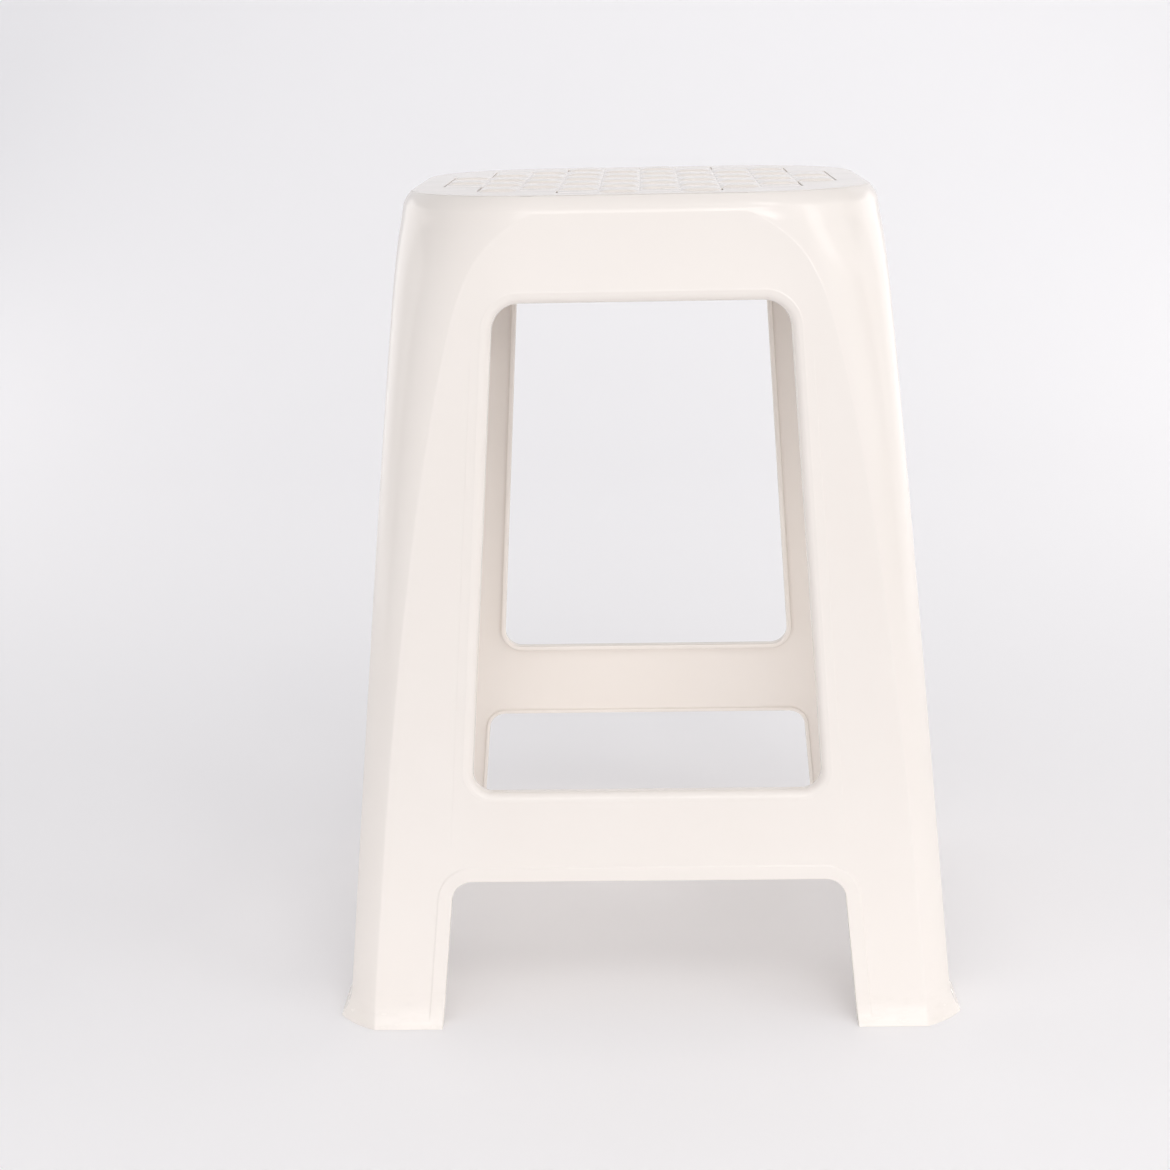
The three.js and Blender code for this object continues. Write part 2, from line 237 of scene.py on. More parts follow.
def cornerBend(z):
    # radius of the corner's rounded middle: it opens out evenly to the edge of the seat, where it
    # reaches the end of the flat side
    crease = creaseAngle(z)
    widest = (cornerWidth(z) - skin["creaseRun"]) / (math.cos(crease) - math.sin(crease))
    rise = max((z - skin["openLow"]) / (skin["seatEdge"] - skin["openLow"]), 0)
    seat = cornerWidth(skin["seatEdge"])
    opened = skin["openRadius"] + (seat - skin["openRadius"]) * rise ** skin["openPower"]
    above, below = skin["openBlend"]
    return widest + (opened - widest) * smooth(z, skin["openLow"] + above, bandLow - below)


def cornerPoint(z, inset, column):
    # A point of the corner surface, counted round from the first side to the next. Seen from above it
    # breaks from the side by the crease angle, runs straight, bends, and ends the same way. Returns
    # its distance out from the axis, and its place along the first side.
    columns = skin["cornerColumns"]
    if column > columns / 2:
        along, out = cornerPoint(z, inset, columns - column)
        return out, along
    crease = creaseAngle(z)
    cosine, sine, tight = math.cos(crease), math.sin(crease), math.tan(crease / 2)
    share = smooth(z / bandLow, *skin["creaseRoundShares"])
    bend = skin["creaseRoundFoot"] + (skin["creaseRoundArch"] - skin["creaseRoundFoot"]) * share
    bend *= archStretch(z) ** 2
    radius = cornerBend(z)
    run = (cornerWidth(z) - radius * (cosine - sine)) / (cosine + sine)
    bend = min(bend, skin["creaseRunShare"] * run / max(tight, skin["leastTangent"]))
    half = sideHalf(z) - inset
    edge = half - cornerWidth(z) + inset * (1 - tight)
    run -= inset * tight
    radius -= inset
    bend = max(bend - inset, skin["creaseRoundInside"])
    cut = bend * tight
    if column <= skin["bendColumns"]:
        angle = crease * column / skin["bendColumns"]
        return half - bend + bend * math.cos(angle), edge - cut + bend * math.sin(angle)
    column -= skin["bendColumns"]
    if column <= skin["runColumns"]:
        reach = cut + (run - cut) * column / skin["runColumns"]
        return half - reach * sine, edge + reach * cosine
    column -= skin["runColumns"]
    middleColumns = columns / 2 - skin["bendColumns"] - skin["runColumns"]
    angle = crease + (math.pi / 4 - crease) * column / middleColumns
    centre = (half - run * sine - radius * cosine, edge + run * cosine - radius * sine)
    return centre[0] + radius * math.cos(angle), centre[1] + radius * math.sin(angle)


def placed(x, out, z, turn):
    # x runs along the front, out is the distance out from the axis; turned by quarter turns
    y = -out
    for _ in range(turn):
        x, y = -y, x
    return Vector((x, y, z))


def ringPoint(z, inset, column, turn):
    out, along = cornerPoint(z, inset + bandInset(z), column)
    return placed(along, out, z, turn)


def flatEnd(z, inset):
    # how far the flat side reaches from its middle line
    return cornerPoint(z, inset + bandInset(z), 0)[1]


# Both openings have leaning sides and rounded corners. halfLow and halfHigh follow from the legs.
for opening, low in ((window, window["low"]), (gap, 0)):
    halfLow = faceHalf(low) - opening["legLow"]
    halfHigh = faceHalf(opening["high"]) - opening["legHigh"]
    opening["lean"] = math.atan((halfLow - halfHigh) / (opening["high"] - low))
    opening["reach"] = halfLow * math.cos(opening["lean"]) + low * math.sin(opening["lean"])


def sideX(opening, z, grow):
    # where the leaning side of an opening is, z high, when the opening is grown all round
    return (opening["reach"] + grow - z * math.sin(opening["lean"])) / math.cos(opening["lean"])


def arcCentre(opening, z, radius):
    # centre of a corner arc, z high, that touches the leaning side from inside
    return sideX(opening, z, -radius), z


def arcPoints(opening, z, radius, grow, start, end):
    x, z = arcCentre(opening, z, radius)
    size = radius + grow
    return [
        (x + size * math.cos(angle), z + size * math.sin(angle))
        for angle in spread(start, end, opening["arcSteps"])
    ]


def mirrored(right):
    return [(-x, z) for x, z in reversed(right)]


def windowOutline(grow, shift=0.0):
    # the closed outline of a window; it has no foot, so shift changes nothing
    lean = window["lean"]
    low, high = window["low"], window["high"]
    right = arcPoints(window, low + window["radiusLow"], window["radiusLow"], grow, -math.pi / 2, lean)
    top = arcPoints(window, high - window["radiusHigh"], window["radiusHigh"], grow, lean, math.pi / 2)
    start, end = right[-1], top[0]
    steps = window["sideSteps"]
    between = [
        (start[0] + (end[0] - start[0]) * i / steps, start[1] + (end[1] - start[1]) * i / steps)
        for i in range(1, steps)
    ]
    right += between + top
    return right + mirrored(right)


def gapOutline(grow, shift=0.0):
    # the open outline of a leg gap, from the floor up the right leg and down the left one; shift
    # raises the points on the legs, so that a section pushed in along the face still ends level
    r = gap["radius"]
    arc = arcPoints(gap, gap["high"] - r, r, grow, gap["lean"], math.pi / 2)
    levels = [z + shift for z in rowsBelow(flareHigh)]
    levels += spread(flareHigh + shift, arc[0][1], gap["sideSteps"])[1:-1]
    right = [(sideX(gap, z, grow), z) for z in levels] + arc
    return right + mirrored(right)


def gapDistance(x, z):
    # how far a point of the side lies outside the leg gap
    r = gap["radius"]
    lean = gap["lean"]
    x = abs(x)
    centre = arcCentre(gap, gap["high"] - r, r)
    angle = math.atan2(z - centre[1], x - centre[0])
    if angle < lean:
        return x * math.cos(lean) + z * math.sin(lean) - gap["reach"]
    if angle > math.pi / 2:
        return z - gap["high"]
    return math.hypot(x - centre[0], z - centre[1]) - r


def stripHeight(x, z):
    half = gap["stripSlope"] / 2
    across = 1 - smooth(gapDistance(x, z), gap["stripWide"] - half, gap["stripWide"] + half)
    return gap["stripProud"] * across * smooth(z, *gap["stripFade"])


def windowDistance(x, z):
    # how far a point of the side lies outside the window
    lean = window["lean"]
    x = abs(x)
    for level, r, start, end in (
        (window["high"] - window["radiusHigh"], window["radiusHigh"], lean, math.pi / 2),
        (window["low"] + window["radiusLow"], window["radiusLow"], -math.pi / 2, lean),
    ):
        centre = arcCentre(window, level, r)
        if start < math.atan2(z - centre[1], x - centre[0]) < end:
            return math.hypot(x - centre[0], z - centre[1]) - r
    beside = x * math.cos(lean) + z * math.sin(lean) - window["reach"]
    return max(beside, z - window["high"], window["low"] - z)


def beadHeight(x, z):
    share = 2 * (windowDistance(x, z) - window["beadAway"]) / window["beadWide"]
    return window["beadProud"] * max(1 - share * share, 0) ** 2


def stepHeight(x, z):
    half = window["stepWide"] / 2
    outside = smooth(abs(x) - sideX(window, z, window["stepAway"]), -half, half)
    ends = smooth(z, *window["stepLow"]) * (1 - smooth(z, *window["stepHigh"]))
    return window["stepProud"] * (1 - outside) * ends


def rowsBelow(high):
    # levels in the flare: close together in the rounded edge that stands on the floor
    r = skin["footRound"]
    edge = [r * (1 - math.cos(a)) for a in spread(0, math.pi / 2, roundSteps["foot"])]
    return edge + spread(r, high, skin["flareRows"])[1:]


legRows = spread(flareHigh, legHigh, skin["legRows"])[1:]
archRows = spread(legHigh, bandLow, skin["archRows"], skin["archCrowd"])[1:]
sideRows = rowsBelow(flareHigh) + legRows + archRows
undersideLow = deckLow - skin["undersideRound"]
insideRows = [z for z in sideRows if z < undersideLow - skin["insideClear"]] + [undersideLow]


def innerInset(z):
    return skin["wall"] - footCut(z)


def outerHalf(x, z):
    return sideHalf(z) - footCut(z) + stripHeight(x, z) + beadHeight(x, z) + stepHeight(x, z)


def innerHalf(x, z):
    # the inside is plain, so x changes nothing
    return sideHalf(z) - skin["wall"] + footCut(z)


def insideLoop(x, z, loop):
    inside = False
    for (x0, z0), (x1, z1) in zip(loop, loop[1:] + loop[:1]):
        if (z0 > z) != (z1 > z) and x < x0 + (x1 - x0) * (z - z0) / (z1 - z0):
            inside = not inside
    return inside


def fillFlat(outline, hole, lines):
    # triangles between a closed outline and a closed hole that keep every point and line given: all
    # are made, of output type 0, and those outside or in the hole are left out
    points, edges = [], []
    for line, closed in [(outline, True), (hole, True)] + [(line, False) for line in lines]:
        first = len(points)
        points += line
        edges += [(first + i, first + i + 1) for i in range(len(line) - 1)]
        if closed:
            edges.append((len(points) - 1, first))
    made = delaunay_2d_cdt([Vector(p) for p in points], edges, [], 0, skin["fillNear"])
    flat = [(v.x, v.y) for v in made[0]]
    kept = []
    for face in made[2]:
        x = sum(flat[i][0] for i in face) / 3
        z = sum(flat[i][1] for i in face) / 3
        if insideLoop(x, z, outline) and not insideLoop(x, z, hole):
            kept.append(list(face))
    return flat, kept


def addObject(name, data):
    made = bpy.data.objects.new(name, data)
    bpy.context.scene.collection.objects.link(made)
    return made


def finished(name, shape, mesh):
    # turns all faces outwards, fills the mesh and puts the piece in the scene
    bmesh.ops.recalc_face_normals(shape, faces=shape.faces)
    openEdges = sum(not edge.is_manifold for edge in shape.edges)
    shape.to_mesh(mesh)
    shape.free()
    print(name, len(mesh.polygons), "faces,", openEdges, "open edges")
    return addObject(name, mesh)


class Shell:
    # collects points and faces in millimetres, and welds them into one mesh at the end
    def __init__(self):
        self.points = []
        self.faces = []

    def add(self, points, faces):
        first = len(self.points)
        self.points += points
        self.faces += [[first + i for i in face] for face in faces]

    def strip(self, rows, closed=False):
        # quads between rows of equal length
        count = len(rows[0])
        faces = []
        for j in range(len(rows) - 1):
            for i in range(count if closed else count - 1):
                k = (i + 1) % count
                faces.append([j * count + i, j * count + k, (j + 1) * count + k, (j + 1) * count + i])
        self.add([p for row in rows for p in row], faces)

    def solid(self, name):
        shape = bmesh.new()
        corners = [shape.verts.new(p * mm) for p in self.points]
        for face in self.faces:
            shape.faces.new([corners[i] for i in face])
        bmesh.ops.remove_doubles(shape, verts=shape.verts, dist=skin["weldNear"] * mm)
        for face in shape.faces:
            face.smooth = True
        return finished(name, shape, bpy.data.meshes.new(name))


def supportLine(rows, inset):
    # runs close inside the edge of a flat side, so that the bend there stays out of the shading
    away = skin["support"]
    edge = [(flatEnd(z, inset(z)), z) for z in rows if z > flareHigh]
    line = []
    for i, (x, z) in enumerate(edge):
        before, after = edge[max(i - 1, 0)], edge[min(i + 1, len(edge) - 1)]
        dx, dz = after[0] - before[0], after[1] - before[1]
        size = math.hypot(dx, dz)
        line.append((x - away * dz / size, z + away * dx / size))
    top = rows[-1] - away
    line = [(x, z) for x, z in line if z < top] + [(line[-1][0], top)]
    return line + mirrored(line)


def flareLines(rows, inset, grow):
    # level lines across both legs, where the sides curve out to the floor
    lines = []
    for z in rows:
        if 0 < z <= flareHigh:
            line = [(sideX(gap, z, grow), z), (flatEnd(z, inset(z)), z)]
            lines += [line, mirrored(line)]
    return lines


def stripLines():
    # rows along the sloping edge of the raised strip, one on each side of it and one near the gap
    half = gap["stripSlope"] / 2
    grows = spread(gap["stripWide"] - half, gap["stripWide"] + half, roundSteps["stripSlope"])
    grows = [gap["edgeRound"] + skin["support"], grows[0] - skin["support"]] + grows
    grows.append(grows[-1] + skin["support"])
    low = gap["stripFade"][0]
    return [[(x, z) for x, z in gapOutline(grow) if z > low] for grow in grows]


def windowLines():
    # rows along the bead round the window, and along the step up each leg
    lines = []
    steps = roundSteps["bead"]
    for i in range(steps + 1):
        loop = windowOutline(window["beadAway"] + window["beadWide"] * (i / steps - 0.5))
        lines.append(loop + loop[:1])
    levels = spread(window["stepLow"][0], window["stepHigh"][1], window["stepRows"])
    half = window["stepWide"] / 2
    beside = half + skin["support"]
    for grow in spread(-half, half, roundSteps["legStep"]) + [-beside, beside]:
        line = [(sideX(window, z, window["stepAway"] + grow), z) for z in levels]
        lines += [line, mirrored(line)]
    return lines


def sideSheet(shell, rows, inset, half, lines, gapGrow, windowGrow, turn):
    # one side, outside or inside, with its window and its leg gap left open
    edge = [(flatEnd(z, inset(z)), z) for z in rows]
    outline = edge + mirrored(edge) + list(reversed(gapOutline(gapGrow)))
    hole = windowOutline(windowGrow)
    around = windowOutline(windowGrow + skin["support"])
    lines = lines + flareLines(rows, inset, gapGrow) + [supportLine(rows, inset), around + around[:1]]
    flat, faces = fillFlat(outline, hole, lines)
    shell.add([placed(x, half(x, z), z, turn) for x, z in flat], faces)


def quarterRound(count):
    # shares of a quarter circle: from (0, 0), leaving along the first axis, to (1, 1)
    return [(math.sin(a), 1 - math.cos(a)) for a in spread(0, math.pi / 2, count)]


def openingSections(wide, deep, opening):
    # The way through an opening, as (grow, depth, which skin the depth is measured from): round the
    # outer edge, in along the lip, round its end and back out to the wall inside
    r, fillet = opening["lipRound"], opening["lipFillet"]
    end, outside, wall = opening["lipDeep"], opening["lipWall"], skin["wall"]
    lip = quarterRound(roundSteps["lip"])
    bend = quarterRound(roundSteps["lipFillet"])
    sections = [(wide * (1 - a), deep * b, "outer") for a, b in quarterRound(roundSteps["openingEdge"])]
    sections += [(r * b, end - r + r * a, "plane") for a, b in lip]
    sections += [(outside - r + r * a, end - r * b, "plane") for a, b in lip]
    sections += [(outside + fillet * b, wall + fillet * (1 - a), "inner") for a, b in bend]
    return sections[:-1] + [(outside + fillet, 0, "skin")]


def sectionRow(outline, section, turn):
    grow, depth, measured = section
    lean = math.atan(skin["taper"])
    lower = depth * math.sin(lean)
    row = []
    for x, z in outline(grow, lower):
        out = faceHalf(z) - depth * math.cos(lean)
        z -= lower
        if measured == "outer":
            out += outerHalf(x, z) - faceHalf(z)
        if measured == "inner":
            out += innerHalf(x, z) + skin["wall"] - faceHalf(z)
        if measured == "skin":
            out = innerHalf(x, z)
        row.append(placed(x, out, z, turn))
    return row


# The woven field on the seat, in millimetres; its strand is as wide as the frame's field allows
weave = {
    "strands": 10,
    "shortRow": 4,              # strands in the outermost row along each side
    "grooveWide": 0.75,
    "grooveRound": 0.5,
    "cornerRound": 0.5,
    "crownWide": 3.2,           # how far in from the seat edge its smooth border still rises
}
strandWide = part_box("seat_weave")[1].x * 2 / mm / weave["strands"]


def steppedOutline(grow):
    # the edge of the woven field: a square block with a short row along each side, and with each
    # corner slightly rounded
    far, short = weave["strands"] / 2, weave["shortRow"] / 2
    near = far - 1
    bend = weave["cornerRound"]
    corners = [(far, short), (near, short), (near, near), (short, near), (short, far)]
    corners = [Vector((x * strandWide + grow, y * strandWide + grow)) for x, y in corners]
    ring = [Matrix.Rotation(math.pi / 2 * turn, 2) @ c for turn in range(4) for c in corners]
    points = []
    for i, corner in enumerate(ring):
        before = corner + (ring[i - 1] - corner).normalized() * bend
        after = corner + (ring[(i + 1) % len(ring)] - corner).normalized() * bend
        for t in spread(0, 1, roundSteps["fieldCorner"]):
            points.append(before.lerp(corner, t).lerp(corner.lerp(after, t), t).to_tuple())
    return points


def cornerRow(z, inset, turn):
    return [ringPoint(z, inset, i, turn) for i in range(skin["cornerColumns"] + 1)]


def wholeRing(z, inset):
    return [point for turn in range(4) for point in cornerRow(z, inset, turn)]


def addSides(shell):
    # the four sides and corners, outside and inside, with the way through each opening
    gapSections = openingSections(gap["edgeRound"], gap["edgeRound"], gap)
    windowSections = openingSections(window["edgeWide"], window["edgeDeep"], window)
    walls = (
        (sideRows, footCut, outerHalf, stripLines() + windowLines(), 0),
        (insideRows, innerInset, innerHalf, [], -1),
    )
    gapRows = []
    for turn in range(4):
        rows = [sectionRow(gapOutline, section, turn) for section in gapSections]
        gapRows.append(rows)
        shell.strip(rows)
        rows = [sectionRow(windowOutline, section, turn) for section in windowSections]
        shell.strip(rows, closed=True)
        for rows, inset, half, lines, end in walls:
            grows = gapSections[end][0], windowSections[end][0]
            sideSheet(shell, rows, inset, half, lines, *grows, turn)
        for rows, inset, *_ in walls:
            shell.strip([cornerRow(z, inset(z), turn) for z in rows])

    # the ends of the legs on the floor
    for turn in range(4):
        sole = cornerRow(0, footCut(0), turn)
        sole += [row[-1] for row in gapRows[(turn + 1) % 4]]
        sole += reversed(cornerRow(0, innerInset(0), turn))
        sole += [row[0] for row in reversed(gapRows[turn])]
        shell.add(sole, [list(range(len(sole)))])


def addBand(shell):
    # the leaning band, the fine seam above it, and the border that rises a little inside that;
    # returns the last ring
    edge = skin["seatEdge"]
    # a row close below the edge keeps its rounding small
    levels = spread(edge, bandLow, skin["bandRows"], skin["bandCrowd"])[::-1]
    levels[-1:] = [edge - skin["seamRound"], edge]
    band = [wholeRing(z, 0) for z in levels]
    high, deep = skin["seamHigh"], skin["seamDeep"]
    band += [wholeRing(edge + rise, deep) for rise in (0, high)]
    crown = borderHigh - edge
    start = 1 - (1 - high / crown) ** (1 / skin["crownPower"])
    for t in reversed(spread(1, start, skin["crownRows"], skin["bandCrowd"])):
        rise = crown * (1 - (1 - t) ** skin["crownPower"])
        band.append([p + Vector((0, 0, rise)) for p in wholeRing(edge, weave["crownWide"] * t)])
    shell.strip(band, closed=True)
    return band[-1]


def addSeat(shell, edge):
    # the flat border inside this edge, the groove round the weave and the plate in it
    groove, bend = weave["grooveWide"], weave["grooveRound"]
    ring = [(p.x, p.y) for p in edge]
    inRing = [(p.x, p.y) for p in wholeRing(skin["seatEdge"], weave["crownWide"] + skin["support"])]
    hole = steppedOutline(groove + bend)
    around = steppedOutline(groove + bend + skin["support"])
    flat, faces = fillFlat(ring, hole, [inRing + inRing[:1], around + around[:1]])
    shell.add([Vector((x, y, borderHigh)) for x, y in flat], faces)
    turned = quarterRound(roundSteps["groove"])
    sections = [(groove + bend * (1 - a), borderHigh - bend * b) for a, b in turned]
    sections.append((groove, deckHigh))
    rows = [[Vector((x, y, z)) for x, y in steppedOutline(grow)] for grow, z in sections]
    shell.strip(rows, closed=True)
    shell.add(rows[-1], [list(range(len(rows[-1])))])


def addUnderside(shell):
    # the bend from the walls to the seat plate inside, and the plate's underside
    r = skin["undersideRound"]
    turned = quarterRound(roundSteps["underside"])
    rows = [wholeRing(deckLow - r + r * a, skin["wall"] + r * b) for a, b in turned]
    shell.strip(rows, closed=True)
    shell.add(rows[-1], [list(range(len(rows[-1])))])


def buildShell():
    shell = Shell()
    addSides(shell)
    addSeat(shell, addBand(shell))
    addUnderside(shell)
    return shell.solid("mouldedShell")


mouldedShell = buildShell()


def addNode(tree, kind, sockets=None, **settings):
    # adds one node: settings are its own properties, and sockets maps each input, by name or number,
    # to another node's output or to a plain value
    node = tree.nodes.new(kind)
    for name, value in settings.items():
        setattr(node, name, value)
    for key, value in (sockets or {}).items():
        if isinstance(value, bpy.types.NodeSocket):
            tree.links.new(value, node.inputs[key])
        else:
            node.inputs[key].default_value = value
    return node


def geometryTree(name, sizes):
    # a Geometry Nodes tree with one named input for each size, a material and a geometry output
    tree = bpy.data.node_groups.new(name, "GeometryNodeTree")
    tree.interface.new_socket("Geometry", in_out="OUTPUT", socket_type="NodeSocketGeometry")
    tree.interface.new_socket("Geometry", in_out="INPUT", socket_type="NodeSocketGeometry")
    for label, value in sizes.items():
        kind = "Int" if isinstance(value, int) else "Float"
        tree.interface.new_socket(label, in_out="INPUT", socket_type="NodeSocket" + kind)
    tree.interface.new_socket("Material", in_out="INPUT", socket_type="NodeSocketMaterial")
    return tree, addNode(tree, "NodeGroupInput").outputs


def addEnding(tree, shape, given):
    # what every tree ends in: real geometry in the given material
    shape = addNode(tree, "GeometryNodeRealizeInstances", {"Geometry": shape}).outputs[0]
    sockets = {"Geometry": shape, "Material": given["Material"]}
    addNode(tree, "NodeGroupOutput", {0: addNode(tree, "GeometryNodeSetMaterial", sockets).outputs[0]})


def grown(name, source, tree, values):
    # runs a tree on a mesh with these input values, and leaves a plain mesh
    carrier = addObject(name + "Carrier", source)
    nodes = carrier.modifiers.new(tree.name, "NODES")
    nodes.node_group = tree
    for item in tree.interface.items_tree:
        if item.in_out == "INPUT" and item.name in values:
            nodes[item.identifier] = values[item.name]
    evaluated = carrier.evaluated_get(bpy.context.evaluated_depsgraph_get())
    made = bpy.data.meshes.new_from_object(evaluated)
    carrier.modifiers.remove(nodes)
    bpy.data.objects.remove(carrier)
    made.name = name
    shape = bmesh.new()
    shape.from_mesh(made)
    return finished(name, shape, made)


def emptyMaterial(name):
    material = bpy.data.materials.new(name)
    material.use_nodes = True
    material.node_tree.nodes.clear()
    return material


def addSurface(tree, sockets):
    # what every material ends in: one Principled shader with these inputs
    shader = addNode(tree, "ShaderNodeBsdfPrincipled", sockets)
    addNode(tree, "ShaderNodeOutputMaterial", {"Surface": shader.outputs["BSDF"]})


def hexColour(text):
    # sRGB hex to the linear colour that nodes take
    values = [int(text[i:i + 2], 16) / 255 for i in (0, 2, 4)]
    return (*[v / 12.92 if v <= 0.04045 else ((v + 0.055) / 1.055) ** 2.4 for v in values], 1)


# Injection-moulded polypropylene: gloss from the polished mould, a slightly uneven skin that makes
# soft highlights waver, and a warm cream that is never quite one tint
plastic = {
    "cream": "F8F2EC",
    "creamDeep": "F6EFE8",
    "ior": 1.49,
    "cloud": 60 * mm,           # size of the faint changes of tint and polish
    "cloudDetail": 3.0,
    "cloudRange": (0.3, 0.7),   # the part of that noise over which the polish changes
    "roughLow": 0.15,
    "roughHigh": 0.2,
    "wave": 34 * mm,            # long waves where the plastic shrank as it cooled
    "waveDetail": 1.0,
    "waveDeep": 0.05 * mm,
    "grain": 2.2 * mm,          # drawn coarser than real, as the real grain is too fine to show
    "grainDetail": 2.0,
    "grainDeep": 0.005 * mm,
    "speck": "9C8A74",          # dark specks burnt into the moulding
    "speckApart": 12 * mm,
    "speckRare": 0.93,          # share of the places for a speck that stay without one
    "speckSize": 0.3 * mm,
    "scuff": 9 * mm,            # scuffs where the feet slide on the floor: size and highest place
    "scuffHigh": 26 * mm,
    "scuffStretch": (1, 1, 3),
    "scuffDetail": 4.0,
    "scuffRange": (0.5, 0.68),  # the part of that noise over which a scuff fades in
    "scuffGrey": "D9D2C8",
    "scuffFade": 0.15,
    "scuffRough": 0.15,
}


def mouldedPolypropylene():
    material = emptyMaterial("mouldedPolypropylene")
    tree = material.node_tree
    place = addNode(tree, "ShaderNodeTexCoord").outputs["Object"]
    stretched = addNode(
        tree, "ShaderNodeVectorMath", {0: place, 1: plastic["scuffStretch"]}, operation="MULTIPLY",
    ).outputs[0]
    noise = {}
    for kind, point in (("cloud", place), ("scuff", stretched), ("wave", place), ("grain", place)):
        sockets = {"Vector": point, "Scale": 1 / plastic[kind], "Detail": plastic[kind + "Detail"]}
        noise[kind] = addNode(tree, "ShaderNodeTexNoise", sockets).outputs["Fac"]

    # each cell may hold one speck at its middle
    cells = addNode(tree, "ShaderNodeTexVoronoi", {"Vector": place, "Scale": 1 / plastic["speckApart"]})
    pick = addNode(tree, "ShaderNodeSeparateColor", {0: cells.outputs["Color"]}).outputs[0]
    rare = addNode(tree, "ShaderNodeMath", {0: pick, 1: plastic["speckRare"]}, operation="GREATER_THAN")
    small = addNode(
        tree, "ShaderNodeMath",
        {0: cells.outputs["Distance"], 1: plastic["speckSize"] / plastic["speckApart"]},
        operation="LESS_THAN",
    )
    speck = addNode(tree, "ShaderNodeMath", {0: rare.outputs[0], 1: small.outputs[0]}, operation="MULTIPLY")

    # scuffs grow fainter up the foot
    height = addNode(tree, "ShaderNodeSeparateXYZ", {0: place}).outputs["Z"]
    low = addNode(
        tree, "ShaderNodeMapRange",
        {"Value": height, 1: 0.0, 2: plastic["scuffHigh"], 3: 1.0, 4: 0.0}, interpolation_type="SMOOTHSTEP",
    ).outputs[0]
    faint, full = plastic["scuffRange"]
    worn = addNode(tree, "ShaderNodeMapRange", {"Value": noise["scuff"], 1: faint, 2: full, 3: 0.0, 4: 1.0})
    scuffed = addNode(tree, "ShaderNodeMath", {0: low, 1: worn.outputs[0]}, operation="MULTIPLY").outputs[0]
    faded = addNode(tree, "ShaderNodeMath", {0: scuffed, 1: plastic["scuffFade"]}, operation="MULTIPLY")

    # each Mix node lays the next colour over those before it: input 0 is its share, 6 and 7 the colours
    colour = hexColour(plastic["cream"])
    layers = (noise["cloud"], "creamDeep"), (speck.outputs[0], "speck"), (faded.outputs[0], "scuffGrey")
    for share, layer in layers:
        sockets = {0: share, 6: colour, 7: hexColour(plastic[layer])}
        colour = addNode(tree, "ShaderNodeMix", sockets, data_type="RGBA").outputs[2]

    # the mould's polish is a little uneven, and scuffs are duller
    least, most = plastic["cloudRange"]
    polish = addNode(
        tree, "ShaderNodeMapRange",
        {"Value": noise["cloud"], 1: least, 2: most, 3: plastic["roughLow"], 4: plastic["roughHigh"]},
    ).outputs[0]
    roughness = addNode(
        tree, "ShaderNodeMath", {0: scuffed, 1: plastic["scuffRough"], 2: polish}, operation="MULTIPLY_ADD",
    ).outputs[0]

    # the long waves, with the fine grain of the skin on them
    sockets = {}
    for kind in ("wave", "grain"):
        sockets.update({"Height": noise[kind], "Strength": 1.0, "Distance": plastic[kind + "Deep"]})
        sockets["Normal"] = addNode(tree, "ShaderNodeBump", sockets).outputs[0]
    addSurface(tree, {
        "Base Color": colour, "Roughness": roughness, "IOR": plastic["ior"], "Normal": sockets["Normal"],
    })
    return material


polypropylene = mouldedPolypropylene()
mouldedShell.data.materials.append(polypropylene)


# The basket weave: one tile of an over-lying strand, repeated over the cells with every other one
# turned, so that strands of equal width pass over and under
weaveRelief = {
    "Strand Width": strandWide * mm,
    "Strands": weave["strands"],
    "Short Row": weave["shortRow"],
    "Tile Steps": 24,
    "Crest": 2.8 * mm,          # highest and lowest level of the weave above its plate
    "Valley": 1.2 * mm,
    "Deep Crest": 1.8 * mm,     # strands that run from front to back lie deeper
    "Run Power": 4.5,           # how flat a strand stays along its run before it dips under the next
    "Cross Power": 20.0,        # how flat it is across
    "Plate Level": deckHigh * mm,
    "Weld": 0.02 * mm,          # points closer than this are one point
}


